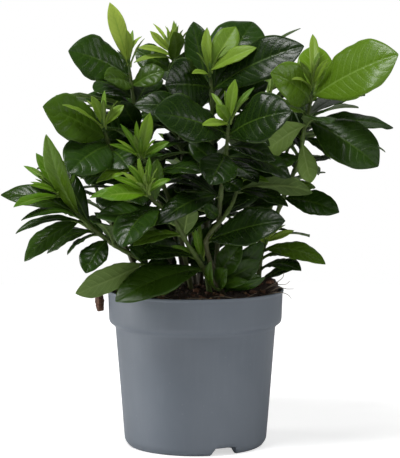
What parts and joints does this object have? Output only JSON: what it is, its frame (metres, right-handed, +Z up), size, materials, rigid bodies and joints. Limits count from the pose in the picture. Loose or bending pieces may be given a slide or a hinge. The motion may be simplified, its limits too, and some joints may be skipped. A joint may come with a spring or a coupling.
{
  "type": "potted gardenia",
  "caption": "Leafy gardenia shrub with glossy dark leaves and pale young shoots, growing in soil in a round banded nursery pot.",
  "frame": {"origin": "middle of the pot's foot, on the plane that it stands on", "axes": "+Z up along the pot's axis, -Y towards the front of the plant, +X to its right"},
  "size_m": [0.2835, 0.2532, 0.324],
  "materials": {
    "pot_plastic": "matte",
    "soil": "matte",
    "bark": "matte",
    "grown_leaf": "satin",
    "young_leaf": "satin"
  },
  "bodies": {
    "root": {"pot": "pot_plastic", "soil": "soil", "bark_strip": "bark", "stem_left_low": "grown_leaf", "stem_left_tall": "grown_leaf", "stem_left": "grown_leaf", "stem_middle": "grown_leaf", "stem_front": "grown_leaf", "stem_right": "grown_leaf", "stem_front_left": "grown_leaf", "stem_inner_twig": "grown_leaf", "stem_back_tall": "grown_leaf", "stem_centre_low": "grown_leaf", "stem_back_left": "grown_leaf", "stem_back_right": "grown_leaf", "stem_back_low": "grown_leaf", "stem_side_left": "grown_leaf", "stem_side_right": "grown_leaf", "shoot_left_low": "young_leaf", "shoot_left_tall": "young_leaf", "shoot_left": "young_leaf", "shoot_middle": "young_leaf", "shoot_front": "young_leaf", "shoot_right": "young_leaf", "shoot_front_left": "young_leaf", "shoot_inner_twig": "young_leaf", "shoot_back_tall": "young_leaf", "shoot_centre_low": "young_leaf", "shoot_back_left": "young_leaf", "shoot_back_right": "young_leaf", "shoot_back_low": "young_leaf", "shoot_side_left": "young_leaf", "shoot_side_right": "young_leaf", "shoot_right_side": "young_leaf", "shoot_front_left_side": "young_leaf"}
  },
  "joints": []
}
